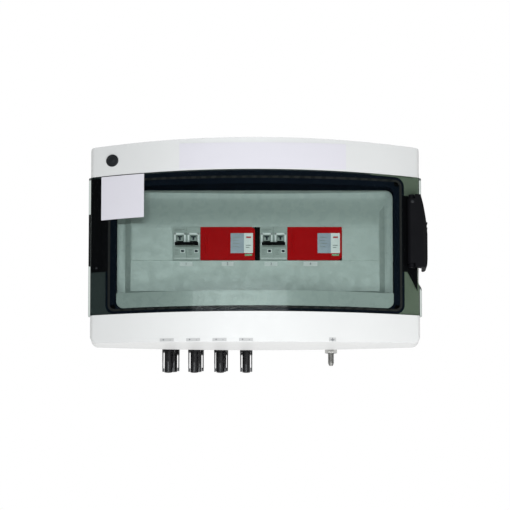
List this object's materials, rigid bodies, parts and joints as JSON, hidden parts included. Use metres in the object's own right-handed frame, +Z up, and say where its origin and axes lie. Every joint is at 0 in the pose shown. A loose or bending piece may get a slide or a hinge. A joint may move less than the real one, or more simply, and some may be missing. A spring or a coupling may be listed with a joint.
{
  "type": "dc combiner box",
  "caption": "Wall-mounted solar DC combiner box with a bowed smoked door, side handle, breakers and surge arresters on a rail, connectors and earth stud below",
  "frame": {"origin": "on the wall plane, midway along the cover's width and the height of its sides", "axes": "X to the right seen from the front, the front faces -Y, Z up"},
  "size_m": [0.441, 0.1483, 0.2944],
  "materials": {
    "housing": "plain",
    "mask_plastic": "plain",
    "black_plastic": "plain",
    "connector_plastic": "plain",
    "smoked_plastic": "plain",
    "gasket": "plain",
    "steel": "plain",
    "zinc": "plain",
    "brass": "plain",
    "tinned_copper": "plain",
    "breaker_plastic": "plain",
    "arrester_plastic": "plain",
    "window_plastic": "plain",
    "label": "plain",
    "wire_insulation": "plain",
    "earth_insulation": "plain"
  },
  "bodies": {
    "enclosure": {"base_gasket": "gasket", "blanking_strips": "mask_plastic", "collar": "black_plastic", "collar_screws": "steel", "connector_1": "connector_plastic", "connector_2": "connector_plastic", "connector_3": "connector_plastic", "connector_4": "connector_plastic", "connector_5": "connector_plastic", "connector_6": "connector_plastic", "connector_7": "connector_plastic", "connector_8": "connector_plastic", "connector_contacts": "tinned_copper", "connector_locknuts": "black_plastic", "connector_seals": "gasket", "corner_cap": "black_plastic", "din_rail": "zinc", "earth_bar": "brass", "earth_nuts": "steel", "earth_stud": "steel", "earth_washers": "steel", "front_cover": "housing", "hinge_bracket": "black_plastic", "hinge_pin": "steel", "mask": "mask_plastic", "mask_screws": "steel", "mcb_1_body": "breaker_plastic", "mcb_1_terminals": "steel", "mcb_2_body": "breaker_plastic", "mcb_2_terminals": "steel", "rail_screws": "steel", "rear_base": "housing", "spacer": "black_plastic", "spd_1_base": "breaker_plastic", "spd_1_cartridge": "arrester_plastic", "spd_1_terminals": "steel", "spd_1_windows": "window_plastic", "spd_2_base": "breaker_plastic", "spd_2_cartridge": "arrester_plastic", "spd_2_terminals": "steel", "spd_2_windows": "window_plastic", "top_label": "label", "wires_earth": "earth_insulation", "wires_in": "wire_insulation", "wires_out": "wire_insulation", "wires_surge": "wire_insulation"},
    "door": {"door_shell": "smoked_plastic", "door_seal": "gasket", "door_sticker": "label", "hinge_leaf": "black_plastic", "side_plates": "black_plastic", "handle_lugs": "black_plastic", "handle_pin": "steel"},
    "handle": {"handle_grip": "black_plastic"},
    "toggle_1": {"mcb_1_toggle": "black_plastic"},
    "toggle_2": {"mcb_2_toggle": "black_plastic"},
    "clip_mcb_1": {"clip_mcb_1": "black_plastic"},
    "clip_mcb_2": {"clip_mcb_2": "black_plastic"},
    "clip_spd_1": {"clip_spd_1": "black_plastic"},
    "clip_spd_2": {"clip_spd_2": "black_plastic"}
  },
  "joints": [
    {"name": "door_hinge", "type": "hinge", "parent": "enclosure", "child": "door", "pos_m": [-0.213, -0.082, 0], "axis": [0, 0, -1], "range_deg": [0, 110]},
    {"name": "handle_pivot", "type": "hinge", "parent": "door", "child": "handle", "pos_m": [0.2035, -0.11747, 0], "axis": [0, 0, -1], "range_deg": [0, 35]},
    {"name": "breaker_1_toggle", "type": "hinge", "parent": "enclosure", "child": "toggle_1", "pos_m": [-0.089, -0.0935, 0.0079], "axis": [-1, 0, 0], "range_deg": [0, 55]},
    {"name": "breaker_2_toggle", "type": "hinge", "parent": "enclosure", "child": "toggle_2", "pos_m": [0.0242, -0.0935, 0.0079], "axis": [-1, 0, 0], "range_deg": [0, 55]},
    {"name": "clip_mcb_1_slide", "type": "slide", "parent": "enclosure", "child": "clip_mcb_1", "axis": [0, 0, -1], "range_m": [0, 0.0035], "stiffness_N_per_m": 400},
    {"name": "clip_mcb_2_slide", "type": "slide", "parent": "enclosure", "child": "clip_mcb_2", "axis": [0, 0, -1], "range_m": [0, 0.0035], "stiffness_N_per_m": 400},
    {"name": "clip_spd_1_slide", "type": "slide", "parent": "enclosure", "child": "clip_spd_1", "axis": [0, 0, -1], "range_m": [0, 0.0035], "stiffness_N_per_m": 400},
    {"name": "clip_spd_2_slide", "type": "slide", "parent": "enclosure", "child": "clip_spd_2", "axis": [0, 0, -1], "range_m": [0, 0.0035], "stiffness_N_per_m": 400}
  ]
}
